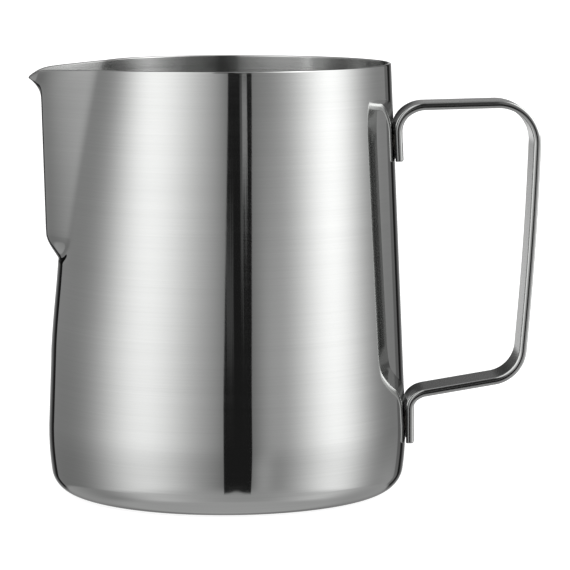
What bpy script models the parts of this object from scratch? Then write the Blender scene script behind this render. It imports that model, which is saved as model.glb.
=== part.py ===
"""Milk frothing pitcher: a drawn steel jug with a pressed pouring spout and a spot-welded strip handle.

Frame: metres, +Z up. The origin is on the underside, on the axis of the turned wall.
The handle points to +X and the spout to -X, and the plane Y = 0 is the plane of symmetry.
"""
import math

import bmesh
import bpy
from mathutils import Matrix, Vector

# ---------------------------------------------------------------- driving dimensions, in metres

HEIGHT = 0.1074             # rim above the underside
RIM_RADIUS = 0.0413         # outside radius at the rim
FOOT_RADIUS = 0.04494       # outside radius at the foot of the straight wall
FOOT_HEIGHT = 0.018         # height of that foot, where the belly curve begins
BELLY_ARC = 0.070           # radius of the belly curve, seen from the side
CORNER_ARC = 0.0063         # radius of the bottom corner
WALL = 0.0009               # sheet thickness of the jug
RIM_EDGE = 0.0003           # rounding of the rim's two edges

SPOUT_FOOT = 0.0592         # height where the chin of the spout leaves the wall
CHIN_HEIGHT = 0.0065        # height of the rounded chin
NOSE_REACH = 0.0452         # nose line from the axis, just above the chin
NOSE_LEAN = 0.025           # how far the nose line leans out, per unit of height
NOSE_FLAT = 0.0046          # half width of the blunt front of the spout
FLANK_ANGLE = math.radians(45.8)     # slope that the flanks tend to, from the nose line's tangent
CREASE_LOW = math.radians(21)        # half angle between the two creases, at the spout's foot
CREASE_HIGH = math.radians(38)       # the same at the rim
SHOULDER_ANGLE = math.radians(64)    # half angle within which the wall is drawn in beside the spout
PULL_LOW = 0.0010           # how far the wall is drawn in at the creases, at the spout's foot
PULL_HIGH = 0.0019          # the same at the rim
PULL_END = 0.036            # height where the drawing-in has died away

LIP_DIP = 0.00115           # dip of the rim round the spout
LIP_DIP_SPREAD = math.radians(33)
BEAK_DIP = 0.0023           # further dip at the very tip
BEAK_DIP_SPREAD = math.radians(7)
BEAK_FLARE = 0.0029         # how far the lip is turned out at the tip
BEAK_FLARE_SPREAD = math.radians(7)
LIP_FLARE = 0.0003          # how far it is turned out along the flanks
LIP_FLARE_SPREAD = math.radians(25)
FLARE_HEIGHT = 0.007        # height of the turned-out part

STRIP_WIDTH = 0.014         # handle strip
STRIP_THICKNESS = 0.00185
STRIP_EDGE = 0.0004         # rounding of its edges
FIT = 0.0003                # clearance between the handle's tabs and the wall

UPPER_TAB_END = 0.083       # height of the upper tab's free end
UPPER_ARM_HEIGHT = 0.0966   # upper arm's middle line, over the tab
GRIP_TOP = (0.0779, 0.0974)          # x and z where the upper arm's and the grip's middle lines meet
GRIP_BOTTOM = (0.0736, 0.02875)      # x and z where the grip's and the lower arm's middle lines meet
GRIP_BOW = 0.0006           # how far the grip bows out between its bends
LOWER_ARM_HEIGHT = 0.0242   # lower arm's middle line, over the tab
LOWER_TAB_END = 0.012       # height of the lower tab's free end
BENDS = (0.0065, 0.0094, 0.0083, 0.0042)  # bend radii of the middle line, from the upper tab to the lower

NUGGET_RADIUS = 0.0020      # weld spots between the tabs and the wall
NUGGET_BURIED = 0.0005      # how deep they reach into the tab
NUGGET_GAP = 0.00012        # clearance at their two faces
NUGGET_SIDE_GAP = 0.0003    # clearance round them
NUGGET_SPACING = 0.0072     # between the two spots of a tab
UPPER_WELD_HEIGHT = 0.0876
LOWER_WELD_HEIGHT = 0.0166

NOSE_COLUMNS = 9            # facets from the nose line to a crease
SHOULDER_COLUMNS = 6        # from a crease to the plain wall
BACK_COLUMNS = 18           # from there to the back
BEND_STEPS = 9              # facets round each bend of the handle

WALL_LEAN = math.atan2(FOOT_RADIUS - RIM_RADIUS, HEIGHT - FOOT_HEIGHT)
BELLY_CENTRE_R = FOOT_RADIUS - BELLY_ARC * math.cos(WALL_LEAN)   # the belly curve leaves the
BELLY_CENTRE_Z = FOOT_HEIGHT - BELLY_ARC * math.sin(WALL_LEAN)   # straight wall without a kink


# ---------------------------------------------------------------- the jug's outer surface

def smooth(value):
    """Ease from 0 to 1."""
    value = min(max(value, 0.0), 1.0)
    return value * value * (3 - 2 * value)


def wall_radius(z):
    """Outside radius of the straight wall at a height."""
    return FOOT_RADIUS + (RIM_RADIUS - FOOT_RADIUS) * (z - FOOT_HEIGHT) / (HEIGHT - FOOT_HEIGHT)


def pull_in(z):
    """How far the wall is drawn in at the creases: the sheet is bent there, not stretched."""
    if z < SPOUT_FOOT:
        return PULL_LOW * smooth((z - PULL_END) / (SPOUT_FOOT - PULL_END))
    return PULL_LOW + (PULL_HIGH - PULL_LOW) * (z - SPOUT_FOOT) / (HEIGHT - SPOUT_FOOT)


def crease_angle(z):
    """Angle from the nose line to a crease, round the axis."""
    up = max(0.0, (z - SPOUT_FOOT) / (HEIGHT - SPOUT_FOOT))
    return CREASE_LOW + (CREASE_HIGH - CREASE_LOW) * up


def nose_reach(z):
    """Distance of the nose line from the axis, without the turned-out lip."""
    drawn_in = wall_radius(z) - pull_in(z)
    if z <= SPOUT_FOOT:
        return drawn_in
    chin = min(1.0, (z - SPOUT_FOOT) / CHIN_HEIGHT)
    line = NOSE_REACH + NOSE_LEAN * (z - SPOUT_FOOT - CHIN_HEIGHT)
    return drawn_in + (line - drawn_in) * math.sin(chin * math.pi / 2)


def past_nose(z, y):
    """Distance from the nose line, less the part of it that the blunt nose takes up."""
    half_width = NOSE_FLAT * smooth((z - SPOUT_FOOT) / CHIN_HEIGHT)
    if half_width < 0.00001:
        return y
    return y - half_width * math.tanh(y / half_width)


def section_point(z, column):
    """One point of the horizontal section, as (towards the spout, sideways), for columns from the nose
    line (0) through the crease (1) and the shoulder's end (2) to the back (3)."""
    radius = wall_radius(z)
    crease = crease_angle(z)
    if column <= 1:
        pulled = radius - pull_in(z)
        crease_x = pulled * math.cos(crease)
        crease_y = pulled * math.sin(crease)
        # a hyperbola from the blunt nose to the crease
        rise = nose_reach(z) - crease_x
        slope = math.tan(FLANK_ANGLE)
        blunt = ((slope * past_nose(z, crease_y)) ** 2 - rise ** 2) / (2 * rise)
        y = crease_y * column
        return nose_reach(z) + blunt - math.hypot(blunt, slope * past_nose(z, y)), y
    if column <= 2:
        angle = crease + (SHOULDER_ANGLE - crease) * (column - 1)
        radius -= pull_in(z) * (2 - column) ** 2
    else:
        angle = SHOULDER_ANGLE + (math.pi - SHOULDER_ANGLE) * (column - 2)
    return radius * math.cos(angle), radius * math.sin(angle)


def bell(angle, spread):
    return math.exp(-(angle / spread) ** 2)


def rim_height(angle):
    """Height of the rim at an angle from the nose line."""
    return HEIGHT - LIP_DIP * bell(angle, LIP_DIP_SPREAD) - BEAK_DIP * bell(angle, BEAK_DIP_SPREAD)


def flare(angle, below_rim):
    """How far the lip is turned out, at an angle from the nose line and a distance below the rim."""
    full = BEAK_FLARE * bell(angle, BEAK_FLARE_SPREAD) + LIP_FLARE * bell(angle, LIP_FLARE_SPREAD)
    return full * max(0.0, 1 - below_rim / FLARE_HEIGHT) ** 3


def wall_point(column, share):
    """A point of the wall, for a column and a share of the way from PULL_END (0) up to the rim (1)."""
    x, y = section_point(HEIGHT, column)
    top = rim_height(math.atan2(y, x))
    z = PULL_END + (top - PULL_END) * share
    x, y = section_point(z, column)
    out = 1 + flare(math.atan2(y, x), top - z) / math.hypot(x, y)
    return Vector((-x * out, y * out, z))


def foot_profile(belly_steps, corner_steps):
    """Points (radius, z) from PULL_END down the belly curve and round the corner to the base."""
    turn = math.asin((CORNER_ARC - BELLY_CENTRE_Z) / (BELLY_ARC - CORNER_ARC))
    points = []
    for step in range(belly_steps):
        angle = WALL_LEAN + (turn - WALL_LEAN) * step / belly_steps
        points.append((BELLY_CENTRE_R + BELLY_ARC * math.cos(angle),
                       BELLY_CENTRE_Z + BELLY_ARC * math.sin(angle)))
    corner_r = BELLY_CENTRE_R + (BELLY_ARC - CORNER_ARC) * math.cos(turn)
    for step in range(corner_steps + 1):
        angle = turn + (-math.pi / 2 - turn) * step / corner_steps
        points.append((corner_r + CORNER_ARC * math.cos(angle), CORNER_ARC + CORNER_ARC * math.sin(angle)))
    return points


def columns():
    """Column values of one half, from the nose line to the back."""
    values = [step / NOSE_COLUMNS for step in range(NOSE_COLUMNS)]
    values += [1 + step / SHOULDER_COLUMNS for step in range(SHOULDER_COLUMNS)]
    values += [2 + step / BACK_COLUMNS for step in range(BACK_COLUMNS + 1)]
    return values


def wall_heights():
    """Nominal heights of the wall's rings, from the rim down, closer where the lip and the chin turn."""
    heights = [HEIGHT - 0.0011 * step for step in range(6)]
    heights += [HEIGHT - FLARE_HEIGHT - 0.006 * step for step in range(6)]
    heights += [SPOUT_FOOT + CHIN_HEIGHT * share for share in (0.75, 0.5, 0.3, 0.15, 0.0)]
    heights += [SPOUT_FOOT - 0.003, SPOUT_FOOT - 0.010, PULL_END]
    return heights


# ---------------------------------------------------------------- the handle's middle line

def tab_line(z):
    """x of the upper tab's middle surface, which lies along the wall."""
    return wall_radius(z) + FIT + STRIP_THICKNESS / 2


def rounded(corners, radii, steps):
    """A polyline of 2D points with its inner corners rounded, and how far each point is round the
    first and the last bend: 1 on the tabs, 0 past their bends."""
    points = [(corners[0], 1.0)]
    last = len(radii) - 1
    for index, radius in enumerate(radii):
        before, corner, after = corners[index:index + 3]
        into = (corner - before).normalized()
        away = (after - corner).normalized()
        turn = into.angle_signed(away)
        setback = radius * math.tan(abs(turn) / 2)
        start = corner - into * setback
        side = Vector((-into.y, into.x)) * (-1 if turn > 0 else 1)
        centre = start + side * radius
        for step in range(steps + 1):
            share = step / steps
            swing = (start - centre).copy()
            swing.rotate(Matrix.Rotation(-turn * share, 2))
            on_tab = 1 - smooth(share) if index == 0 else smooth(share) if index == last else 0.0
            points.append((centre + swing, on_tab))
    points.append((corners[-1], 1.0))
    return points


def handle_line():
    """The strip's middle line in the plane Y = 0, from the upper tab's end to the lower tab's."""
    lower_x = BELLY_CENTRE_R + BELLY_ARC + FIT + STRIP_THICKNESS / 2
    top, bottom = Vector(GRIP_TOP), Vector(GRIP_BOTTOM)
    corners = [
        Vector((tab_line(UPPER_TAB_END), UPPER_TAB_END)),
        Vector((tab_line(UPPER_ARM_HEIGHT), UPPER_ARM_HEIGHT)),
        top,
        bottom,
        Vector((lower_x, LOWER_ARM_HEIGHT)),
        Vector((lower_x, LOWER_TAB_END)),
    ]
    points = []
    for point, on_tab in rounded(corners, BENDS, BEND_STEPS):
        if points:
            # long straight stretches get points between their ends, so that they can bow
            before, before_on_tab = points[-1]
            pieces = max(1, round((point - before).length / 0.006))
            for step in range(1, pieces):
                share = step / pieces
                points.append((before.lerp(point, share),
                               before_on_tab + (on_tab - before_on_tab) * share))
        points.append((point, on_tab))
    return [(bowed(point, top, bottom), on_tab) for point, on_tab in points]


def bowed(point, top, bottom):
    """Move a point of the grip outwards, most half way between the grip's bends."""
    along = (point.y - bottom.y) / (top.y - bottom.y)
    near_grip = smooth((point.x - 0.060) / 0.010)
    out = GRIP_BOW * near_grip * math.sin(math.pi * min(max(along, 0.0), 1.0))
    return Vector((point.x + out, point.y))


# ---------------------------------------------------------------- objects

def clear_scene():
    for thing in list(bpy.data.objects):
        bpy.data.objects.remove(thing, do_unlink=True)


def make_collection(name):
    group = bpy.data.collections.new(name)
    bpy.context.scene.collection.children.link(group)
    return group


def make_material(name, colour, roughness):
    material = bpy.data.materials.new(name)
    material.use_nodes = True
    shader = material.node_tree.nodes["Principled BSDF"]
    shader.inputs["Base Color"].default_value = (*colour, 1.0)
    shader.inputs["Metallic"].default_value = 1.0
    shader.inputs["Roughness"].default_value = roughness
    material.diffuse_color = (*colour, 1.0)
    return material


def make_object(name, shape, group, material=None):
    """An object of a bmesh, shaded smooth with its true edges sharp."""
    mesh = bpy.data.meshes.new(name)
    shape.to_mesh(mesh)
    shape.free()
    mesh.shade_smooth()
    mesh.set_sharp_from_angle(angle=math.radians(40))
    thing = bpy.data.objects.new(name, mesh)
    if material:
        mesh.materials.append(material)
    group.objects.link(thing)
    return thing


def add_grid(shape, rows):
    """Quads between rows of vertices."""
    for upper, lower in zip(rows, rows[1:]):
        for a, b, c, d in zip(upper, upper[1:], lower[1:], lower):
            shape.faces.new((a, b, c, d))


def round_edges(thing, width, segments):
    bevel = thing.modifiers.new("rounded_edges", "BEVEL")
    bevel.width = width
    bevel.segments = segments
    bevel.limit_method = "ANGLE"
    bevel.angle_limit = math.radians(60)
    bevel.use_clamp_overlap = True


def make_vessel(group):
    """Half of the outer surface, mirrored, then thickened inwards."""
    shape = bmesh.new()
    values = columns()
    rows = []
    for height in wall_heights():
        share = (height - PULL_END) / (HEIGHT - PULL_END)
        rows.append([shape.verts.new(wall_point(value, share)) for value in values])
    for radius, z in foot_profile(belly_steps=5, corner_steps=7):
        row = []
        for value in values:
            x, y = section_point(PULL_END, value)
            angle = math.atan2(y, x)
            row.append(shape.verts.new((-radius * math.cos(angle), radius * math.sin(angle), z)))
        rows.append(row)
    add_grid(shape, rows)
    centre = shape.verts.new((0, 0, 0))
    for a, b in zip(rows[-1], rows[-1][1:]):
        shape.faces.new((a, b, centre))
    for vert in shape.verts:
        if abs(vert.co.y) < 1e-7:
            vert.co.y = 0.0
    vessel = make_object("vessel", shape, group, make_material("satin_steel", (0.60, 0.60, 0.59), 0.24))
    mirror = vessel.modifiers.new("other_half", "MIRROR")
    mirror.use_axis = (False, True, False)
    mirror.merge_threshold = 0.00005
    shell = vessel.modifiers.new("sheet", "SOLIDIFY")
    shell.thickness = WALL
    shell.offset = -1
    shell.use_even_offset = True
    round_edges(vessel, RIM_EDGE, 2)
    return vessel


def weld_frame(height, side):
    """Placement on the wall's surface at the handle side: its Z axis is the wall's outward normal."""
    if height > FOOT_HEIGHT:
        radius, lean = wall_radius(height), WALL_LEAN
    else:
        lean = math.asin((height - BELLY_CENTRE_Z) / BELLY_ARC)
        radius = BELLY_CENTRE_R + BELLY_ARC * math.cos(lean)
    angle = math.asin(side * NUGGET_SPACING / 2 / radius)
    place = Matrix.Rotation(angle, 4, "Z") @ Matrix.Translation((radius, 0, height))
    return place @ Matrix.Rotation(math.pi / 2 - lean, 4, "Y")


def make_disc(name, place, radius, low, high, group, material=None):
    """A short cylinder along the wall's normal, between two distances from the wall."""
    shape = bmesh.new()
    bmesh.ops.create_cone(shape, cap_ends=True, segments=24, radius1=radius, radius2=radius,
                          depth=high - low)
    bmesh.ops.transform(shape, matrix=place @ Matrix.Translation((0, 0, (low + high) / 2)),
                        verts=shape.verts)
    return make_object(name, shape, group, material)


def make_handle(group, cutters):
    """A strip along the middle line, curved to the wall at its tabs, with a pocket for each weld."""
    shape = bmesh.new()
    strips = 4
    rows = []
    for point, on_tab in handle_line():
        row = []
        for step in range(strips + 1):
            y = STRIP_WIDTH * (step / strips - 0.5)
            hug = (FOOT_RADIUS - math.sqrt(FOOT_RADIUS ** 2 - y * y)) * on_tab
            row.append(shape.verts.new((point.x - hug, y, point.y)))
        rows.append(row)
    add_grid(shape, rows)
    handle = make_object("handle", shape, group, make_material("bright_steel", (0.62, 0.62, 0.61), 0.14))
    strip = handle.modifiers.new("strip", "SOLIDIFY")
    strip.thickness = STRIP_THICKNESS
    strip.offset = 0
    strip.use_even_offset = True
    round_edges(handle, STRIP_EDGE, 3)
    for cutter in cutters:
        pocket = handle.modifiers.new("pocket", "BOOLEAN")
        pocket.operation = "DIFFERENCE"
        pocket.solver = "EXACT"
        pocket.object = cutter
    return handle


def make_welds(group, guides):
    """Four weld nuggets, and the cutters of the pockets that they fill in the tabs."""
    cutters = []
    for row, height in (("upper", UPPER_WELD_HEIGHT), ("lower", LOWER_WELD_HEIGHT)):
        for side_name, side in (("left", -1), ("right", 1)):
            place = weld_frame(height, side)
            material = make_material(f"weld_metal_{row}_{side_name}", (0.42, 0.41, 0.40), 0.45)
            make_disc(f"weld_nugget_{row}_{side_name}", place, NUGGET_RADIUS, NUGGET_GAP,
                      FIT + NUGGET_BURIED - NUGGET_GAP, group, material)
            cutter = make_disc(f"pocket_{row}_{side_name}", place, NUGGET_RADIUS + NUGGET_SIDE_GAP,
                               -FIT, FIT + NUGGET_BURIED, guides)
            cutter.hide_render = True
            cutter.display_type = "WIRE"
            cutters.append(cutter)
    return cutters


def main():
    clear_scene()
    parts = make_collection("frothing_pitcher")
    guides = make_collection("cutters")
    make_vessel(parts)
    make_handle(parts, make_welds(parts, guides))


main()
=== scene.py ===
import math

import bmesh
import bpy
from mathutils import Matrix, Vector


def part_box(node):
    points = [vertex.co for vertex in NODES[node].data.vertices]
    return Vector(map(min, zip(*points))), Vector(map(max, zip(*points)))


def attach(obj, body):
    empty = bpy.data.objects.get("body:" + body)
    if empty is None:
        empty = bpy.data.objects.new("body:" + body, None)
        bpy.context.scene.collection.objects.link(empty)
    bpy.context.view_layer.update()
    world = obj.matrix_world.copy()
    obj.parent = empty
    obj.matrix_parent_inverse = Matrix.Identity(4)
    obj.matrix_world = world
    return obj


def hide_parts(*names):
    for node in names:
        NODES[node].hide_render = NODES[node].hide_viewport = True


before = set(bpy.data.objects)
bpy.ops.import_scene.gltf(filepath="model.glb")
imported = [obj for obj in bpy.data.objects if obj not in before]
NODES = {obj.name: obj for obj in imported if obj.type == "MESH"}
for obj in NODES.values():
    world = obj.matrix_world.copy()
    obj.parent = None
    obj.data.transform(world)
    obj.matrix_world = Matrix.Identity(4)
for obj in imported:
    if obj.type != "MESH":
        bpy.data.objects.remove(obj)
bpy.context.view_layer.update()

WELD_NODES = sorted(name for name in NODES if name.startswith("weld_nugget"))

# ---------------------------------------------------------------- driving dimensions, in metres

HEIGHT = 0.1074             # rim above the underside
RIM_RADIUS = 0.0413         # outside radius at the rim
FOOT_RADIUS = 0.04494       # outside radius at the foot of the straight wall
FOOT_HEIGHT = 0.018         # height of that foot, where the belly curve begins
BELLY_ARC = 0.070           # radius of the belly curve, seen from the side
CORNER_ARC = 0.0063         # radius of the bottom corner
WALL = 0.0009               # sheet thickness of the jug
RIM_EDGE = 0.0003           # rounding of the rim's two edges

SPOUT_FOOT = 0.0592         # height where the chin of the spout leaves the wall
CHIN_HEIGHT = 0.0065        # height of the rounded chin
CHIN_DRAW = 0.08            # slope of the wall where it is drawn in beside the chin
CHIN_DRAW_BELOW = 0.001     # the drawing-in begins this far below the chin's foot
CHIN_DRAW_RISE = 0.0025     # and is complete this much higher
CHIN_FILLET = 0.0005        # where the chin is within this of the wall, the two are blended
NOSE_REACH = 0.0452         # nose line from the axis, just above the chin
NOSE_LEAN = 0.025           # how far the nose line leans out, per unit of height
NOSE_FLAT = 0.0046          # half width of the blunt front of the spout
CHIN_FLAT = 0.0022          # it narrows to this at the chin's foot
FLANK_ANGLE = math.radians(45.8)     # slope that the flanks tend to, from the nose line's tangent
CREASE_LOW = math.radians(21)        # half angle between the two creases, at the spout's foot
CREASE_HIGH = math.radians(38)       # the same at the rim
CREASE_EASE = 0.12          # the creases begin to part softly, over this share of the spout's height
CREASE_REACH = 0.084        # reach of the averaging that rounds a crease, as a share of the flank
SHOULDER_ANGLE = math.radians(64)    # half angle within which the wall is drawn in beside the spout
PULL_LOW = 0.0010           # how far the wall is drawn in at the creases, at the spout's foot
PULL_HIGH = 0.0019          # the same at the rim
PULL_END = 0.036            # height where the drawing-in has died away

LIP_DIP = 0.00115           # dip of the rim round the spout
LIP_DIP_SPREAD = math.radians(33)
BEAK_DIP = 0.0023           # further dip at the very tip
BEAK_DIP_SPREAD = math.radians(7)
BEAK_FLARE = 0.0029         # how far the lip is turned out at the tip
BEAK_FLARE_SPREAD = math.radians(7)
LIP_FLARE = 0.0003          # how far it is turned out along the flanks
LIP_FLARE_SPREAD = math.radians(25)
FLARE_HEIGHT = 0.007        # height of the turned-out part

STRIP_WIDTH = 0.014         # handle strip
STRIP_THICKNESS = 0.00185
EDGE_CROWN = 0.00045        # how far the strip's rounded edges stand out past its flat faces
TAB_END_EDGE = 0.00025      # rounding of the sawn ends
FIT = 0.0003                # clearance between the handle's tabs and the wall

UPPER_TAB_END = 0.083       # height of the upper tab's free end
UPPER_ARM_HEIGHT = 0.0966   # upper arm's middle line, over the tab
GRIP_TOP = (0.0779, 0.0974)          # x and z where the upper arm's and the grip's middle lines meet
GRIP_BOTTOM = (0.0736, 0.02875)      # x and z where the grip's and the lower arm's middle lines meet
GRIP_BOW = 0.0006           # how far the grip bows out between its bends
GRIP_SIDE = (0.060, 0.070)  # x between which a point of the handle comes to belong to the grip
LOWER_ARM_HEIGHT = 0.0242   # lower arm's middle line, over the tab
LOWER_TAB_END = 0.012       # height of the lower tab's free end
BENDS = (0.0065, 0.0094, 0.0083, 0.0042)  # bend radii of the middle line, from the upper tab to the lower
TAB_CURVE_FADE = 1.7        # power by which a tab's curve to the wall goes over into the flat arm

POCKET_RADIUS = 0.0023      # room for each weld nugget in the tab's inner face
POCKET_DEPTH = 0.0005
POCKET_EDGE = 0.0003        # width of the pocket's sloping side
WELD_MARK_RADIUS = 0.0019   # the welding electrode's print on the tab's outer face
WELD_MARK_DEPTH = 0.00009
WELD_MARK_SLOPE = 2.2       # steepness of the print's side: its floor starts at 1 - 1/this of the radius

CHIN_TOP = SPOUT_FOOT + CHIN_HEIGHT
WALL_LEAN = math.atan2(FOOT_RADIUS - RIM_RADIUS, HEIGHT - FOOT_HEIGHT)
BELLY_CENTRE_R = FOOT_RADIUS - BELLY_ARC * math.cos(WALL_LEAN)   # the belly curve leaves the
BELLY_CENTRE_Z = FOOT_HEIGHT - BELLY_ARC * math.sin(WALL_LEAN)   # straight wall without a kink

# ---------------------------------------------------------------- how finely the meshes are divided

NOSE_COLUMNS = 26           # from the nose line to a crease
NOSE_CROWDING = 0.10        # how much closer than even they are at both ends
SHOULDER_COLUMNS = 18       # from a crease to the shoulder's end
SHOULDER_CROWDING = 1.25    # power by which they are closer at the crease
BACK_COLUMNS = 48           # from there to the back
FLARE_RINGS = 22            # over the turned-out lip
NOSE_RINGS = 31             # from there down to the chin
NOSE_RING_STEP = 0.0011
CHIN_RINGS = 32             # over the chin and just below it
CHIN_RING_STEP = 0.00028
FADE_RINGS = 16             # from there to where the drawing-in has died away
STRAIGHT_RINGS = 6          # over the rest of the straight wall
BELLY_RINGS = 18
CORNER_RINGS = 22
BASE_RINGS = (0.75, 0.5, 0.25, 0.1)  # as shares of the flat base's radius
MIRROR_MERGE = 0.00003      # points of the two halves closer than this are joined
BEND_STEPS = 26             # round each bend of the handle
LINE_SPACING = 0.0005       # along its straight runs
FACE_STEPS = 36             # across each face of the strip
EDGE_STEPS = 20             # round each edge
END_STEPS = 4               # round each sawn end


# ---------------------------------------------------------------- the jug's outer surface

def smooth(value):
    """Ease from 0 to 1."""
    value = min(max(value, 0.0), 1.0)
    return value * value * (3 - 2 * value)


def bell(angle, spread):
    """1 at an angle of 0, falling away on both sides."""
    return math.exp(-(angle / spread) ** 2)


def wall_radius(z):
    """Outside radius of the straight wall at a height."""
    return FOOT_RADIUS + (RIM_RADIUS - FOOT_RADIUS) * (z - FOOT_HEIGHT) / (HEIGHT - FOOT_HEIGHT)


def pull_in(z):
    """How far the wall is drawn in at the creases, with no kink at the spout's foot."""
    slope = (PULL_HIGH - PULL_LOW) / (HEIGHT - SPOUT_FOOT)
    if z >= SPOUT_FOOT:
        return PULL_LOW + slope * (z - SPOUT_FOOT)
    reach = SPOUT_FOOT - PULL_END
    share = max(0.0, (z - PULL_END) / reach)
    return PULL_LOW * smooth(share) + slope * reach * (share ** 3 - share ** 2)


def crease_angle(z):
    """Angle from the nose line to a crease, which opens smoothly above the spout's foot."""
    up = (z - SPOUT_FOOT) / (HEIGHT - SPOUT_FOOT)
    if up < -CREASE_EASE:
        up = 0.0
    elif up < CREASE_EASE:
        up = (up + CREASE_EASE) ** 2 / (4 * CREASE_EASE)
    return CREASE_LOW + (CREASE_HIGH - CREASE_LOW) * up


def nose_reach(z):
    """Distance of the nose line from the axis; it carries on into the wall below the chin's foot."""
    drawn_in = wall_radius(z) - pull_in(z)
    up_chin = min(max((z - SPOUT_FOOT) / CHIN_HEIGHT, -1.0), 1.0)
    line = NOSE_REACH + NOSE_LEAN * (z - CHIN_TOP)
    return drawn_in + (line - drawn_in) * math.sin(up_chin * math.pi / 2)


def flank_drop(y, blunt, flat):
    """How far a flank lies behind the nose line, at a distance y from it."""
    past_nose = y - flat * math.tanh(y / flat)
    return math.hypot(blunt, math.tan(FLANK_ANGLE) * past_nose) - blunt


def bluntness(z, flat):
    """How blunt the spout is where its flanks run from the nose line to the creases."""
    pulled = wall_radius(z) - pull_in(z)
    rise = nose_reach(z) - pulled * math.cos(crease_angle(z))
    run = flank_drop(pulled * math.sin(crease_angle(z)), 0.0, flat)
    return (run ** 2 - rise ** 2) / (2 * rise)


def spout_section(z, share):
    """One point of the spout's section, at a share of the way from the nose line to a crease. The flanks
    keep their shape down the chin and sink into the wall with it, with a fillet where they meet it."""
    pulled = wall_radius(z) - pull_in(z)
    crease_y = pulled * math.sin(crease_angle(z))
    y = crease_y * share
    flat = CHIN_FLAT + (NOSE_FLAT - CHIN_FLAT) * smooth((z - SPOUT_FOOT) / CHIN_HEIGHT)
    flank = nose_reach(z) - flank_drop(y, bluntness(max(z, CHIN_TOP), flat), flat)
    drawn = CHIN_DRAW * (1 - share) * crease_y * smooth((z - SPOUT_FOOT + CHIN_DRAW_BELOW) / CHIN_DRAW_RISE)
    wall = math.sqrt(pulled ** 2 - y * y) - drawn
    sunk = nose_reach(CHIN_TOP) - nose_reach(z) if z < CHIN_TOP else 0.0
    blend = min(CHIN_FILLET, sunk)
    overlap = max(0.0, blend - abs(flank - wall))
    fillet = overlap ** 2 / (4 * blend) if overlap > 0 else 0.0
    return Vector((max(flank, wall) + fillet, y))


def sharp_section(z, column):
    """One point of the horizontal section, as (towards the spout, sideways), for columns from the nose
    line (0) through the crease (1) and the shoulder's end (2) to the back (3)."""
    column = abs(column)
    if column <= 1:
        return spout_section(z, column)
    radius = wall_radius(z)
    if column <= 2:
        crease = crease_angle(z)
        angle = crease + (SHOULDER_ANGLE - crease) * (column - 1)
        radius -= pull_in(z) * (2 - column) ** 2
    else:
        angle = SHOULDER_ANGLE + (math.pi - SHOULDER_ANGLE) * (column - 2)
    return Vector((radius * math.cos(angle), radius * math.sin(angle)))


# the averaging that rounds a crease: offsets, as shares of its reach, each with its weight
KERNEL = [(offset / 4, 5 - abs(offset)) for offset in range(-4, 5)]
KERNEL_SUM = sum(weight for _, weight in KERNEL)


def section_point(z, column):
    """The section with its crease rounded, by averaging along it near the crease."""
    # in full up to 0.3 of a column value from the crease, and not at all past 0.8
    reach = CREASE_REACH * smooth(1.6 - 2 * abs(column - 1))
    if reach == 0:
        return sharp_section(z, column)
    total = Vector((0, 0))
    for offset, weight in KERNEL:
        total += sharp_section(z, column + offset * reach) * weight
    return total / KERNEL_SUM


def rim_height(angle):
    """Height of the rim, by the angle from the nose line."""
    return HEIGHT - LIP_DIP * bell(angle, LIP_DIP_SPREAD) - BEAK_DIP * bell(angle, BEAK_DIP_SPREAD)


def flare(angle, below_rim):
    """How far the lip is turned out."""
    full = BEAK_FLARE * bell(angle, BEAK_FLARE_SPREAD) + LIP_FLARE * bell(angle, LIP_FLARE_SPREAD)
    return full * max(0.0, 1 - below_rim / FLARE_HEIGHT) ** 3


def wall_point(column, share):
    """A point of the wall, for a column and a share of the way from PULL_END (0) up to the rim (1)."""
    x, y = section_point(HEIGHT, column)
    top = rim_height(math.atan2(y, x))
    z = PULL_END + (top - PULL_END) * share
    x, y = section_point(z, column)
    out = 1 + flare(math.atan2(y, x), top - z) / math.hypot(x, y)
    return Vector((-x * out, y * out, z))


def foot_profile():
    """Points (radius, z) from the straight wall's foot down the belly curve and round the corner."""
    turn = math.asin((CORNER_ARC - BELLY_CENTRE_Z) / (BELLY_ARC - CORNER_ARC))
    points = []
    for step in range(BELLY_RINGS):
        angle = WALL_LEAN + (turn - WALL_LEAN) * step / BELLY_RINGS
        points.append((BELLY_CENTRE_R + BELLY_ARC * math.cos(angle),
                       BELLY_CENTRE_Z + BELLY_ARC * math.sin(angle)))
    corner_r = BELLY_CENTRE_R + (BELLY_ARC - CORNER_ARC) * math.cos(turn)
    for step in range(CORNER_RINGS + 1):
        angle = turn + (-math.pi / 2 - turn) * step / CORNER_RINGS
        points.append((corner_r + CORNER_ARC * math.cos(angle), CORNER_ARC + CORNER_ARC * math.sin(angle)))
    return points


def round_profile():
    """Points (radius, z) below PULL_END, where every level is round: the plain wall, the belly and the
    corner, then the base."""
    drop = (PULL_END - FOOT_HEIGHT) / STRAIGHT_RINGS
    levels = [PULL_END - drop * step for step in range(1, STRAIGHT_RINGS)]
    profile = [(wall_radius(z), z) for z in levels] + foot_profile()
    base_radius = profile[-1][0]
    return profile + [(base_radius * share, 0.0) for share in BASE_RINGS]


def columns():
    """Column values of one half, from the nose line to the back, closer at the nose and the crease."""
    values = []
    for step in range(NOSE_COLUMNS):
        turn = 2 * math.pi * step / NOSE_COLUMNS
        values.append((turn - NOSE_CROWDING * math.sin(turn)) / (2 * math.pi))
    values += [1 + (step / SHOULDER_COLUMNS) ** SHOULDER_CROWDING for step in range(SHOULDER_COLUMNS)]
    values += [2 + step / BACK_COLUMNS for step in range(BACK_COLUMNS + 1)]
    return values


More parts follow.
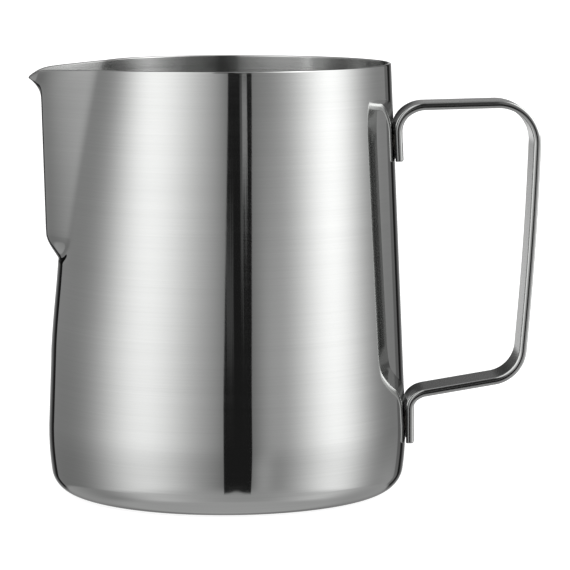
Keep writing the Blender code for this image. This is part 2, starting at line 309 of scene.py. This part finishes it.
def wall_heights():
    """Nominal heights of the wall's rings, from the rim down, closer where the lip and the chin turn."""
    heights = [HEIGHT - FLARE_HEIGHT * step / FLARE_RINGS for step in range(FLARE_RINGS)]
    heights += [HEIGHT - FLARE_HEIGHT - NOSE_RING_STEP * step for step in range(NOSE_RINGS)]
    heights += [CHIN_TOP - CHIN_RING_STEP * step for step in range(CHIN_RINGS)]
    last = heights[-1]
    heights += [last + (PULL_END - last) * step / FADE_RINGS for step in range(1, FADE_RINGS + 1)]
    return heights


# ---------------------------------------------------------------- the handle's middle line

def tab_line(z):
    """x of the upper tab's middle surface, which lies along the wall."""
    return wall_radius(z) + FIT + STRIP_THICKNESS / 2


def rounded(corners, radii):
    """A polyline of 2D points with its inner corners rounded, and how far each point is round the
    first and the last bend: 1 on the tabs, 0 past their bends."""
    points = [(corners[0], 1.0)]
    last = len(radii) - 1
    for index, radius in enumerate(radii):
        before, corner, after = corners[index:index + 3]
        into = (corner - before).normalized()
        away = (after - corner).normalized()
        turn = into.angle_signed(away)
        setback = radius * math.tan(abs(turn) / 2)
        start = corner - into * setback
        side = Vector((-into.y, into.x)) * (-1 if turn > 0 else 1)
        centre = start + side * radius
        for step in range(BEND_STEPS + 1):
            share = step / BEND_STEPS
            swing = (start - centre).copy()
            swing.rotate(Matrix.Rotation(-turn * share, 2))
            # only the first and the last bend have a tab beside them
            past_tab = {0: share, last: 1 - share}.get(index, 1.0)
            points.append((centre + swing, 1 - smooth(past_tab ** TAB_CURVE_FADE)))
    points.append((corners[-1], 1.0))
    return points


def bowed(point, top, bottom):
    """Move a point of the grip outwards, most half way between the grip's bends."""
    along = (point.y - bottom.y) / (top.y - bottom.y)
    start, end = GRIP_SIDE
    near_grip = smooth((point.x - start) / (end - start))
    out = GRIP_BOW * near_grip * math.sin(math.pi * min(max(along, 0.0), 1.0))
    return Vector((point.x + out, point.y))


def handle_line():
    """The strip's middle line in the plane Y = 0, from the upper tab's end to the lower tab's, and how
    far each point belongs to a tab."""
    lower_x = BELLY_CENTRE_R + BELLY_ARC + FIT + STRIP_THICKNESS / 2
    top, bottom = Vector(GRIP_TOP), Vector(GRIP_BOTTOM)
    corners = [
        Vector((tab_line(UPPER_TAB_END), UPPER_TAB_END)),
        Vector((tab_line(UPPER_ARM_HEIGHT), UPPER_ARM_HEIGHT)),
        top,
        bottom,
        Vector((lower_x, LOWER_ARM_HEIGHT)),
        Vector((lower_x, LOWER_TAB_END)),
    ]
    points = []
    for point, on_tab in rounded(corners, BENDS):
        if points:
            before, before_on_tab = points[-1]
            pieces = max(1, round((point - before).length / LINE_SPACING))
            for step in range(1, pieces):
                share = step / pieces
                points.append((before.lerp(point, share),
                               before_on_tab + (on_tab - before_on_tab) * share))
        points.append((point, on_tab))
    return [(bowed(point, top, bottom), on_tab) for point, on_tab in points]


# ---------------------------------------------------------------- meshes

def mesh_object(name, shape, material):
    mesh = bpy.data.meshes.new(name)
    shape.to_mesh(mesh)
    shape.free()
    mesh.shade_smooth()
    mesh.materials.append(material)
    thing = bpy.data.objects.new(name, mesh)
    bpy.context.scene.collection.objects.link(thing)
    return thing


def add_grid(shape, rows, closed=False):
    """Quads between rows of vertices; closed joins each row's end to its start."""
    for upper, lower in zip(rows, rows[1:]):
        count = len(upper)
        for here in range(count if closed else count - 1):
            after = (here + 1) % count
            shape.faces.new((upper[here], upper[after], lower[after], lower[here]))


def make_vessel(material):
    """Half of the outer surface, mirrored, thickened inwards and rounded at the rim."""
    shape = bmesh.new()
    values = columns()
    rows = []
    for height in wall_heights():
        share = (height - PULL_END) / (HEIGHT - PULL_END)
        rows.append([shape.verts.new(wall_point(value, share)) for value in values])
    angles = []
    for value in values:
        x, y = section_point(PULL_END, value)
        angles.append(math.atan2(y, x))
    for radius, z in round_profile():
        rows.append([shape.verts.new((-radius * math.cos(a), radius * math.sin(a), z)) for a in angles])
    add_grid(shape, rows)
    centre = shape.verts.new((0, 0, 0))
    for a, b in zip(rows[-1], rows[-1][1:]):
        shape.faces.new((a, b, centre))
    # the first and the last column lie exactly in the plane of symmetry
    for vert in shape.verts:
        if abs(vert.co.y) < 1e-7:
            vert.co.y = 0.0
    vessel = mesh_object("jug", shape, material)
    mirror = vessel.modifiers.new("other_half", "MIRROR")
    mirror.use_axis = (False, True, False)
    mirror.merge_threshold = MIRROR_MERGE
    shell = vessel.modifiers.new("sheet", "SOLIDIFY")
    shell.thickness = WALL
    shell.offset = -1
    shell.use_even_offset = True
    edge = vessel.modifiers.new("rim_edge", "BEVEL")
    edge.width = RIM_EDGE
    edge.segments = 4
    edge.limit_method = "ANGLE"
    edge.angle_limit = math.radians(60)
    return vessel


def strip_section():
    """The strip's section as (y, out, side) points, once round from the middle of one edge, with flat faces
    and crowned edges; side is 1 on the outer face, -1 on the inner face and 0 on the edges."""
    half_w, half_t = STRIP_WIDTH / 2 - EDGE_CROWN, STRIP_THICKNESS / 2
    points = []
    for edge in (1, -1):
        for step in range(EDGE_STEPS + 1):
            angle = math.pi * (0.5 - step / EDGE_STEPS)
            crowned = half_w + EDGE_CROWN * math.cos(angle)
            points.append((edge * crowned, edge * half_t * math.sin(angle), 0))
        for step in range(1, FACE_STEPS):
            points.append((edge * half_w * (1 - 2 * step / FACE_STEPS), -edge * half_t, -edge))
    middle = EDGE_STEPS // 2
    return points[middle:] + points[:middle]


def weld_centres():
    """(y, z) of each weld, from the nuggets' CAD boxes."""
    centres = []
    for name in WELD_NODES:
        low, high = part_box(name)
        centres.append(((low.y + high.y) / 2, (low.z + high.z) / 2))
    return centres


def weld_relief(y, z, side, centres):
    """How far a tab's face is set back at a point, by a pocket inside or an electrode's print outside."""
    depth = 0.0
    for weld_y, weld_z in centres:
        away = math.hypot(y - weld_y, z - weld_z)
        if side < 0:
            depth = max(depth, POCKET_DEPTH * smooth((POCKET_RADIUS + POCKET_EDGE - away) / POCKET_EDGE))
        else:
            depth = max(depth, WELD_MARK_DEPTH * smooth(WELD_MARK_SLOPE * (1 - away / WELD_MARK_RADIUS)))
    return depth


def add_sawn_end(stations, onward):
    """Round the strip's end at the end of the list: stations that move on while the section shrinks."""
    point, along, on_tab, _ = stations.pop()
    base = point - onward * TAB_END_EDGE
    while (stations[-1][0] - base).dot(onward) > -1e-6:
        stations.pop()
    for step in range(END_STEPS + 1):
        angle = math.pi / 2 * step / END_STEPS
        forward = onward * (TAB_END_EDGE * math.sin(angle))
        stations.append((base + forward, along, on_tab, TAB_END_EDGE * (1 - math.cos(angle))))


def handle_stations():
    """Stations along the strip, as (point, direction, how far it belongs to a tab, inset of the section)."""
    line = handle_line()
    stations = []
    for index, (point, on_tab) in enumerate(line):
        before = line[max(index - 1, 0)][0]
        after = line[min(index + 1, len(line) - 1)][0]
        stations.append((point, (after - before).normalized(), on_tab, 0.0))
    add_sawn_end(stations, stations[-1][1])
    stations.reverse()
    add_sawn_end(stations, -stations[-1][1])
    stations.reverse()
    return stations


def make_handle(material):
    """The strip, swept along its middle line, with its ends rounded and its tabs curved to the wall."""
    section = strip_section()
    centres = weld_centres()
    shape = bmesh.new()
    rows = []
    for point, along, on_tab, inset in handle_stations():
        out = Vector((-along.y, along.x))
        row = []
        for y, depth, side in section:
            y *= 1 - 2 * inset / STRIP_WIDTH
            depth *= 1 - 2 * inset / STRIP_THICKNESS
            hug = (FOOT_RADIUS - math.sqrt(FOOT_RADIUS ** 2 - y * y)) * on_tab
            if side and on_tab > 0.99:
                depth -= math.copysign(weld_relief(y, point.y, side, centres), depth)
            place = point + out * depth
            row.append(shape.verts.new((place.x - hug, y, place.y)))
        rows.append(row)
    add_grid(shape, rows, closed=True)
    cap_end(shape, rows[0], flip=False)
    cap_end(shape, rows[-1], flip=True)
    bmesh.ops.recalc_face_normals(shape, faces=shape.faces)
    return mesh_object("strip_handle", shape, material)


def cap_end(shape, row, flip):
    """Close a section with a ladder of faces from its one side to its other."""
    left, right = 0, len(row) - 1
    while right - left > 2:
        corners = [row[left], row[left + 1], row[right - 1], row[right]]
        shape.faces.new(reversed(corners) if flip else corners)
        left, right = left + 1, right - 1
    if right - left == 2:
        corners = [row[left], row[left + 1], row[right]]
        shape.faces.new(reversed(corners) if flip else corners)


# ---------------------------------------------------------------- node graphs

class Graph:
    """Adds nodes to a node tree, linking or setting their inputs."""

    def __init__(self, tree):
        self.tree = tree

    def add(self, kind, settings=None, **inputs):
        """A new node. Its inputs are given by name, or by number as i0, i1 and so on."""
        node = self.tree.nodes.new(kind)
        for key, value in (settings or {}).items():
            setattr(node, key, value)
        for key, value in inputs.items():
            index = int(key[1:]) if key[0] == "i" and key[1:].isdigit() else key.replace("_", " ")
            self.feed(node.inputs[index], value)
        return node

    def feed(self, socket, value):
        if isinstance(value, bpy.types.NodeSocket):
            self.tree.links.new(value, socket)
        else:
            socket.default_value = value

    def math(self, operation, *values):
        return self.add("ShaderNodeMath", {"operation": operation},
                        **{f"i{index}": value for index, value in enumerate(values)}).outputs[0]

    def times(self, first, *others):
        for other in others:
            first = self.math("MULTIPLY", first, other)
        return first

    def plus(self, first, *others):
        for other in others:
            first = self.math("ADD", first, other)
        return first

    def minus(self, value, taken):
        return self.math("SUBTRACT", value, taken)

    def less(self, amount):
        """What is left of 1."""
        return self.minus(1.0, amount)

    def ramp(self, value, low, high, to_low=0.0, to_high=1.0):
        """A smooth step of a value between two limits."""
        return self.add("ShaderNodeMapRange", {"interpolation_type": "SMOOTHSTEP"}, i0=value, i1=low, i2=high,
                        i3=to_low, i4=to_high).outputs[0]

    def line(self, value, low, high, to_low, to_high):
        """A straight run between two limits, level outside them."""
        return self.add("ShaderNodeMapRange", i0=value, i1=low, i2=high, i3=to_low, i4=to_high).outputs[0]

    def mix(self, share, low, high):
        return self.add("ShaderNodeMix", {"data_type": "FLOAT"}, i0=share, i2=low, i3=high).outputs[0]

    def mix_colours(self, share, low, high):
        return self.add("ShaderNodeMix", {"data_type": "RGBA"}, i0=share, i6=low, i7=high).outputs[2]

    def vector(self, x, y, z=0.0):
        return self.add("ShaderNodeCombineXYZ", X=x, Y=y, Z=z).outputs[0]

    def split(self, vector):
        """The three parts of a vector or colour."""
        return self.add("ShaderNodeSeparateXYZ", Vector=vector).outputs

    def noise(self, place, scale, detail=2.0, roughness=0.5):
        return self.add("ShaderNodeTexNoise", Vector=place, Scale=scale, Detail=detail,
                        Roughness=roughness).outputs[0]

    def stretched_noise(self, place, scales, detail, roughness):
        """Noise with a scale of its own in each direction."""
        stretched = [self.times(part, scale) for part, scale in zip(place, scales)]
        return self.noise(self.vector(*stretched), 1.0, detail, roughness)

    def bump(self, height, **under):
        """Relief of a height in metres, on top of the Normal given, if any."""
        return self.add("ShaderNodeBump", Strength=1.0, Distance=1.0, Height=height, **under).outputs[0]


# ---------------------------------------------------------------- steels

# scales of the brushed lines, per metre, along x, y and a third direction
JUG_FINE_LINES = (22.0, 22.0, 2600.0)    # the third is across the lines: up the wall, out over the base
JUG_BROAD_LINES = (9.0, 9.0, 420.0)
STRIP_LINES = (40.0, 2400.0, 40.0)       # here y is across them
JUG_RIPPLES, STRIP_RIPPLES = 38.0, 70.0  # scales of slow ripples, per metre
RIPPLE_HEIGHT = 0.00003

# greys of the steel in its deeper and its higher lines
JUG_GREYS = ((0.57, 0.575, 0.568), (0.672, 0.678, 0.67))
STRIP_GREYS = ((0.50, 0.504, 0.498), (0.60, 0.605, 0.598))
WELD_GREYS = ((0.34, 0.31, 0.27), (0.50, 0.48, 0.45))    # straw brown and grey
# painted shade: near black on the tabs' inner sides, where they lie close to the jug's wall
GAP_SHADE_COLOUR = (0.03, 0.03, 0.03, 1.0)

# pairs for the jug's outside and its inside
JUG_ROUGHNESS = (0.05, 0.21)
JUG_STREAKS = (0.05, 0.10)               # how much the roughness varies from line to line
JUG_LINE_HEIGHT = (0.0000012, 0.000003)
JUG_ANISOTROPY = (0.8, 1.0)
JUG_CLOUDS = 0.03                        # how much the roughness varies with the broad lines

PIT_CELLS = 150.0                        # cells per metre that may each hold a pit
PIT_CHANCE = 0.14
PIT_RADII = (0.034, 0.016)               # a pit's rim and its floor, as the cell texture measures distance
PIT_ROUGHNESS, PIT_DARKNESS = 0.25, 0.9

STRIP_ROUGHNESS = (0.13, 0.09)           # on the strip's faces and on its crowned edges
STRIP_STREAKS = 0.08
STRIP_LINE_HEIGHT = 0.0000004
GAP_SHADE_CLEARANCE = (0.0009, 0.0006)       # the painted shade fades in where the wall is this near
GAP_SHADE_ROUGHNESS = 0.3                    # added to the strip's

WELD_GRAIN, WELD_TINT = 2600.0, 420.0    # scales of grain and tint, per metre
WELD_ROUGHNESS, WELD_ROUGHNESS_SPREAD = 0.36, 0.25
WELD_GRAIN_HEIGHT = 0.00003


def new_material(name):
    material = bpy.data.materials.new(name)
    material.use_nodes = True
    material.node_tree.nodes.clear()
    return material, Graph(material.node_tree)


def finish_steel(graph, colour, roughness, bump, **brushing):
    """The metal shader; brushing may hold its Tangent and Anisotropic inputs."""
    shader = graph.add("ShaderNodeBsdfPrincipled", Metallic=1.0, Base_Color=colour, Roughness=roughness,
                       Normal=bump, **brushing)
    graph.add("ShaderNodeOutputMaterial", Surface=shader.outputs[0])


def grey_mix(graph, share, greys):
    """A colour between two greys."""
    dark, light = greys
    return graph.mix_colours(share, (*dark, 1.0), (*light, 1.0))


def from_axis(graph, x, y):
    """Distance from the jug's axis."""
    return graph.math("SQRT", graph.plus(graph.times(x, x), graph.times(y, y)))


def scattered_pits(graph, place):
    """1 in a few tiny pits, scattered at random, and 0 elsewhere."""
    cells = graph.add("ShaderNodeTexVoronoi", {"feature": "F1"}, Vector=place, Scale=PIT_CELLS)
    chosen = graph.math("GREATER_THAN", graph.split(cells.outputs["Color"])[0], 1 - PIT_CHANCE)
    return graph.times(graph.ramp(cells.outputs["Distance"], *PIT_RADII), chosen)


def satin_steel():
    """Brushed round the jug's axis: fine level lines on the wall, rings on the base, finer and nearly a
    mirror outside, coarser inside, with slow ripples and a few pits."""
    material, graph = new_material("satin_steel")
    coordinates = graph.add("ShaderNodeTexCoord")
    place = coordinates.outputs["Object"]
    x, y, z = graph.split(place)
    normal_x, normal_y, normal_z = graph.split(coordinates.outputs["Normal"])
    radius = from_axis(graph, x, y)
    # the wall's inside looks towards the axis, and the base's inside looks up, well below the rim
    outwards = graph.plus(graph.times(x, normal_x), graph.times(y, normal_y))
    inside_wall = graph.ramp(outwards, 0.0, -0.004)
    inside_base = graph.times(graph.ramp(normal_z, 0.3, 0.6), graph.ramp(z, HEIGHT * 0.8, HEIGHT * 0.7))
    inside = graph.math("MAXIMUM", inside_wall, inside_base)
    flat = graph.ramp(graph.math("ABSOLUTE", normal_z), 0.75, 0.95)
    across = graph.mix(flat, z, radius)
    fine = graph.stretched_noise((x, y, across), JUG_FINE_LINES, 3.0, 0.6)
    broad = graph.stretched_noise((x, y, across), JUG_BROAD_LINES, 2.0, 0.5)
    pits = scattered_pits(graph, place)
    roughness = graph.plus(graph.mix(inside, *JUG_ROUGHNESS),
                           graph.times(graph.minus(fine, 0.5), graph.mix(inside, *JUG_STREAKS)),
                           graph.times(graph.minus(broad, 0.5), JUG_CLOUDS),
                           graph.times(pits, PIT_ROUGHNESS))
    # darker in the pits and the deeper lines
    lightness = graph.minus(graph.plus(graph.times(fine, 0.6), graph.times(broad, 0.4)),
                            graph.times(pits, PIT_DARKNESS))
    colour = grey_mix(graph, lightness, JUG_GREYS)
    lines = graph.bump(graph.times(graph.plus(fine, graph.times(broad, 0.5)),
                                   graph.mix(inside, *JUG_LINE_HEIGHT)))
    ripple = graph.noise(place, JUG_RIPPLES, 1.0, 0.4)
    waves = graph.bump(graph.times(ripple, RIPPLE_HEIGHT), Normal=lines)
    # the tangent is across the lines too: up the wall, and outwards on the base
    safe_radius = graph.plus(radius, 0.0001)
    tangent = graph.vector(graph.math("DIVIDE", x, safe_radius), graph.math("DIVIDE", y, safe_radius), 1.0)
    finish_steel(graph, colour, roughness, waves, Tangent=tangent,
                 Anisotropic=graph.mix(inside, *JUG_ANISOTROPY))
    return material


def polished_steel():
    """The handle: drawn strip with soft lines along it and slow ripples, brighter on its edges, and with
    painted shade, dull and near black, on the tabs' inner sides close to the jug's wall."""
    material, graph = new_material("polished_steel")
    coordinates = graph.add("ShaderNodeTexCoord")
    place = coordinates.outputs["Object"]
    x, y, z = graph.split(place)
    fine = graph.stretched_noise((x, y, z), STRIP_LINES, 3.0, 0.6)
    edge = graph.ramp(graph.math("ABSOLUTE", graph.split(coordinates.outputs["Normal"])[1]), 0.25, 0.75)
    wall = graph.line(z, FOOT_HEIGHT, HEIGHT, FOOT_RADIUS, RIM_RADIUS)
    # painted shade: the strip is made near black and duller where it lies close to the jug's wall
    gap_shade = graph.ramp(graph.minus(from_axis(graph, x, y), wall), *GAP_SHADE_CLEARANCE)
    roughness = graph.plus(graph.mix(edge, *STRIP_ROUGHNESS), graph.times(fine, STRIP_STREAKS),
                           graph.times(gap_shade, GAP_SHADE_ROUGHNESS))
    colour = graph.mix_colours(gap_shade, grey_mix(graph, fine, STRIP_GREYS), GAP_SHADE_COLOUR)
    lines = graph.bump(graph.times(fine, STRIP_LINE_HEIGHT))
    ripple = graph.noise(place, STRIP_RIPPLES, 1.0, 0.4)
    waves = graph.bump(graph.times(ripple, RIPPLE_HEIGHT), Normal=lines)
    finish_steel(graph, colour, roughness, waves)
    return material


def weld_metal():
    """Fused metal between tab and wall: dull, grainy, tinted straw by the heat."""
    material, graph = new_material("fused_weld_metal")
    place = graph.add("ShaderNodeTexCoord").outputs["Object"]
    grain = graph.noise(place, WELD_GRAIN, 4.0, 0.65)
    colour = grey_mix(graph, graph.noise(place, WELD_TINT, 1.0, 0.5), WELD_GREYS)
    roughness = graph.plus(WELD_ROUGHNESS, graph.times(grain, WELD_ROUGHNESS_SPREAD))
    finish_steel(graph, colour, roughness, graph.bump(graph.times(grain, WELD_GRAIN_HEIGHT)))
    return material


# ---------------------------------------------------------------- studio

CAMERA_YAW = math.radians(-1.7)       # the jug is turned a little on its stand
CAMERA_X, CAMERA_BACK, CAMERA_HEIGHT = 0.01466, 0.8404, 0.1505
CAMERA_DOWN = math.radians(6.715)
CAMERA_ROLL = math.radians(-0.14)
CAMERA_LENS, SENSOR = 212.33, 36.0

# Brightness of the studio that the steel mirrors, by bearing and elevation from the jug, in degrees.
# Bearing 0 is the camera's side and +90 the handle's side. In the tables below
#   a slant is a bearing at the elevation LOW and at HIGH,
#   a bell is its middle's bearing, its spread and its height,
#   a step is the elevation where it begins and where it is complete, and the values there if not 0 and 1,
#   a run is the same with a straight line in place of a smooth one,
#   a span is two edges, and the width over which each is soft.
LOW, HIGH = -4.0, 1.5
GREY_WALLS = 0.30
WALLS_DIM = (-14.0, 1.0, 0.71, 1.0)     # step: the walls are dimmer low down
LEFT_BOX = (-56.0, -49.5)               # slant of the left soft box's middle
LEFT_SPREAD, LEFT_LIGHT = 33.0, 1.11
RIGHT_BOX = (73.0, 76.0)                # slant of the right one's
RIGHT_SPREAD, RIGHT_LIGHT = 28.0, 1.30
SHADE = (7.0, 11.0, 0.50)               # bell: the walls darken towards the flag
FILL_BEARING = (-12.0, LOW, 22.0, 27.0)      # run: they are lighter past the flag
FILL_SPREAD = 8.0
FILL_LIGHT = (-14.0, -6.0, 0.23, 0.09)       # run
FILL_LOSS = (-3.0, HIGH, 0.0, 0.12)          # run: what the fill loses higher up
SIDE_FILL = (135.0, 22.0)                    # bearing and spread of low light behind the handle
SIDE_FILL_LIGHT = (-16.0, -8.0, 0.20, 0.0)   # run
GAP_FROM = (149.8, 151.2)               # a dark gap begins here on both sides, with the backdrop beyond it
GAP_TOP = (24.0, 12.0)                  # step: the walls go all round above this
HALF_GAP_FROM = (142.0, 144.0)          # on the handle's side the walls are darker already from here
HALF_GAP_DARK = 0.45

HIGH_UP = (4.0, 6.0)                    # step: the camera sees this part mirrored in the jug's inside
HIGH_BOXES = 0.2                        # the soft boxes are brighter there by this share
HIGH_BOX = (57.0, 17.0, 1.5)            # bell: more light on the handle's side
HIGH_FLAG = (-10.0, 6.0, 1.5)           # span of bearings: a second flag, above the first
HIGH_FLAG_DARK = 0.93

BACKDROP_FADE = (155.5, 176.0, 0.03, 1.0)    # the backdrop brightens between two bearings, on both sides
BACKDROP = (4.0, 7.0, 0.46, 0.14)       # step: it is pale as high as a table sweep goes, and dark above
DARK_HALF = (-4.0, 3.0)                 # it darkens between two bearings past the back, towards the spout
DARK_HALF_LOSS = 0.7
DARK_HALF_FOOT = (-6.0, -3.0)           # step
BACK_LIGHT = (4.5, 2.5, 0.65)           # bell, past the back: a narrow light
BACK_LIGHT_TOP = (-1.0, -4.0)           # step

CEILING, CEILING_FROM = 0.45, (58.0, 78.0)   # and its step
TABLE, TABLE_FROM = 0.38, (-21.5, -25.5)     # and its step
TABLE_BELOW, TABLE_BELOW_FROM = 0.46, (-42.0, -58.0)    # right under the jug, and its step
TABLE_BOXES = 0.25                      # share of the soft boxes' light that the table takes
TABLE_SHADE_SPOUT = (-97.0, 28.0, 0.27)      # bells: where it is darker
TABLE_SHADE_BACK = (172.0, 14.0, 0.4)

FLAG = 0.015                            # the black flag by the camera
FLAG_LEFT = (-3.2, 0.9)                 # slants of its edges
FLAG_RIGHT = (14.8, 16.9)
FLAG_SIDES_SOFT, FLAG_ENDS_SOFT = 0.4, 0.5
FLAG_BOTTOM, FLAG_TOP = -24.7, 2.6      # its lower and upper edges, by elevation
FLAG_NOTCH = (5.0, 4.0, 0.9)            # bell: its lower edge is raised in the middle
SLIT_HEIGHTS = (-8.0, 1.56, 0.12)       # span: its upper half has a slit and a paler strip, with ragged feet
RAGGED_SCALES = (1.3, 0.25)             # of the noise that frays them, by bearing and elevation
RAGGED_REACH = 4.0
SLIT_BRIGHT, SLIT_BRIGHT_FROM = (10.1, 13.4, 0.6), (-1.1, 0.3)    # each a span of bearings, and a step
SLIT_DIM, SLIT_DIM_FROM = (8.6, 10.1, 0.6), (-3.0, -1.2)
SHEEN, SHEEN_HEIGHTS = (-1.0, 3.6, 1.0), (-3.2, -0.9, 0.9)        # the paler strip's two spans
BRIGHT_LIGHT, DIM_LIGHT, SHEEN_LIGHT = 0.32, 0.09, 0.06

FLOOR_RADIUS, FLOOR_DROP = 4.0, 0.0002  # in metres; just below the jug's base
FLOOR_GREYS = ((0.62, 0.62, 0.62), (0.64, 0.64, 0.64))
FLOOR_GLOW = 0.80


class Studio(Graph):
    """The studio's brightness as a node graph."""

    def __init__(self, tree):
        super().__init__(tree)
        x, y, z = self.split(self.add("ShaderNodeTexCoord").outputs["Generated"])
        degrees = 180 / math.pi
        self.bearing = self.times(self.math("ARCTAN2", x, self.times(y, -1.0)), degrees)
        self.elevation = self.times(self.math("ARCSINE", z), degrees)
        self.aside = self.math("ABSOLUTE", self.bearing)
        self.high_up = self.step(HIGH_UP)
        self.boxes = self.plus(self.bell(self.bearing, self.slant(LEFT_BOX), LEFT_SPREAD, LEFT_LIGHT),
                               self.bell(self.bearing, self.slant(RIGHT_BOX), RIGHT_SPREAD, RIGHT_LIGHT))

    def step(self, limits):
        return self.ramp(self.elevation, *limits)

    def run(self, limits):
        return self.line(self.elevation, *limits)

    def slant(self, bearings):
        return self.line(self.elevation, LOW, HIGH, *bearings)

    def bell(self, value, centre, spread, height):
        away = self.math("DIVIDE", self.minus(value, centre), spread)
        return self.times(self.math("EXPONENT", self.times(away, away, -1.0)), height)

    def between(self, value, low, high, soft):
        """1 between two edges and 0 outside them, with soft sides; the edges may vary."""
        past_low = self.ramp(self.minus(value, low), -soft / 2, soft / 2)
        past_high = self.ramp(self.minus(value, high), -soft / 2, soft / 2)
        return self.times(past_low, self.less(past_high))

    def walls(self):
        """Grey walls with the soft boxes and the fills."""
        light = self.times(self.plus(self.boxes, GREY_WALLS), self.less(self.bell(self.bearing, *SHADE)))
        fill = self.minus(self.run(FILL_LIGHT), self.run(FILL_LOSS))
        light = self.plus(light, self.bell(self.bearing, self.run(FILL_BEARING), FILL_SPREAD, fill),
                          self.bell(self.bearing, *SIDE_FILL, self.run(SIDE_FILL_LIGHT)))
        light = self.times(light, self.step(WALLS_DIM))
        handle_side = self.math("GREATER_THAN", self.bearing, 0.0)
        half_gap = self.ramp(self.aside, *HALF_GAP_FROM)
        light = self.times(light, self.less(self.times(handle_side, half_gap, HALF_GAP_DARK)))
        more = self.plus(self.times(self.boxes, HIGH_BOXES), self.bell(self.bearing, *HIGH_BOX))
        return self.plus(light, self.times(self.high_up, more))

    def backdrop(self):
        """Behind the jug: pale as high as a table sweep goes on the handle's side, dark elsewhere."""
        light = self.times(self.line(self.aside, *BACKDROP_FADE), self.step(BACKDROP))
        past_back = self.minus(self.math("MODULO", self.plus(self.bearing, 360.0), 360.0), 180.0)
        dark = self.times(self.ramp(past_back, *DARK_HALF), self.step(DARK_HALF_FOOT), DARK_HALF_LOSS)
        narrow = self.times(self.bell(past_back, *BACK_LIGHT), self.step(BACK_LIGHT_TOP))
        return self.plus(self.times(light, self.less(dark)), narrow)

    def table(self):
        """The table, which takes some light from the soft boxes."""
        near = self.times(self.plus(TABLE, self.times(self.boxes, TABLE_BOXES)),
                          self.less(self.bell(self.bearing, *TABLE_SHADE_SPOUT)),
                          self.less(self.bell(self.aside, *TABLE_SHADE_BACK)))
        return self.mix(self.step(TABLE_BELOW_FROM), near, TABLE_BELOW)

    def slit(self):
        """The light that the flag lets through in its upper half."""
        frayed = self.stretched_noise((self.bearing, self.elevation), RAGGED_SCALES, 2.0, 0.6)
        reach = self.plus(self.elevation, self.times(self.minus(frayed, 0.5), RAGGED_REACH))
        bright = self.times(self.between(self.bearing, *SLIT_BRIGHT), self.ramp(reach, *SLIT_BRIGHT_FROM))
        dim = self.times(self.between(self.bearing, *SLIT_DIM), self.ramp(reach, *SLIT_DIM_FROM))
        sheen = self.times(self.between(self.bearing, *SHEEN), self.between(reach, *SHEEN_HEIGHTS))
        light = self.plus(self.times(bright, BRIGHT_LIGHT), self.times(dim, DIM_LIGHT),
                          self.times(sheen, SHEEN_LIGHT))
        return self.times(light, self.between(self.elevation, *SLIT_HEIGHTS))

    def light(self):
        """All of it, from the walls and the backdrop through ceiling and table to the flag."""
        gap = self.times(self.ramp(self.aside, *GAP_FROM), self.step(GAP_TOP))
        light = self.mix(gap, self.walls(), self.backdrop())
        high_flag = self.times(self.between(self.bearing, *HIGH_FLAG), self.high_up)
        light = self.times(light, self.less(self.times(high_flag, HIGH_FLAG_DARK)))
        light = self.mix(self.step(CEILING_FROM), light, CEILING)
        light = self.mix(self.step(TABLE_FROM), light, self.table())
        foot = self.plus(FLAG_BOTTOM, self.bell(self.bearing, *FLAG_NOTCH))
        sides = self.between(self.bearing, self.slant(FLAG_LEFT), self.slant(FLAG_RIGHT), FLAG_SIDES_SOFT)
        flag = self.times(sides, self.between(self.elevation, foot, FLAG_TOP, FLAG_ENDS_SOFT))
        return self.mix(flag, light, self.plus(FLAG, self.slit()))


def make_studio():
    """The world: mirrored by the steel as the studio, but plain and white where the camera sees it."""
    world = bpy.data.worlds.new("studio")
    world.use_nodes = True
    world.node_tree.nodes.clear()
    bpy.context.scene.world = world
    studio = Studio(world.node_tree)
    seen = studio.add("ShaderNodeLightPath").outputs["Is Camera Ray"]
    light = studio.mix(seen, studio.light(), 1.0)
    background = studio.add("ShaderNodeBackground", Strength=1.0, Color=studio.vector(light, light, light))
    studio.add("ShaderNodeOutputWorld", Surface=background.outputs[0])


def make_floor():
    """A pale matt table, out of the steel's mirror view: the studio's own pale table stands in for it."""
    shape = bmesh.new()
    bmesh.ops.create_circle(shape, cap_ends=True, segments=96, radius=FLOOR_RADIUS)
    material, graph = new_material("pale_table")
    mottle = graph.noise(graph.add("ShaderNodeTexCoord").outputs["Object"], 60.0, 3.0, 0.5)
    diffuse = graph.add("ShaderNodeBsdfDiffuse", Color=grey_mix(graph, mottle, FLOOR_GREYS))
    glow = graph.add("ShaderNodeEmission", Strength=FLOOR_GLOW)
    both = graph.add("ShaderNodeAddShader", i0=diffuse.outputs[0], i1=glow.outputs[0])
    graph.add("ShaderNodeOutputMaterial", Surface=both.outputs[0])
    floor = mesh_object("table", shape, material)
    floor.location.z = -FLOOR_DROP
    floor.visible_glossy = False


def make_camera():
    data = bpy.data.cameras.new("camera")
    data.lens = CAMERA_LENS
    data.sensor_width = SENSOR
    data.clip_start, data.clip_end = 0.01, 20.0
    camera = bpy.data.objects.new("camera", data)
    bpy.context.scene.collection.objects.link(camera)
    camera.matrix_world = (Matrix.Rotation(CAMERA_YAW, 4, "Z")
                           @ Matrix.Translation((CAMERA_X, -CAMERA_BACK, CAMERA_HEIGHT))
                           @ Matrix.Rotation(math.pi / 2 - CAMERA_DOWN, 4, "X")
                           @ Matrix.Rotation(CAMERA_ROLL, 4, "Z"))
    bpy.context.scene.camera = camera


# ---------------------------------------------------------------- assembly

jug = make_vessel(satin_steel())
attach(jug, "root")
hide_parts("vessel")

handle = make_handle(polished_steel())
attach(handle, "root")
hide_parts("handle")

fused = weld_metal()
for weld_name in WELD_NODES:
    NODES[weld_name].data.materials.clear()
    NODES[weld_name].data.materials.append(fused)

make_studio()
make_floor()
make_camera()
bpy.context.scene.view_settings.view_transform = "Standard"
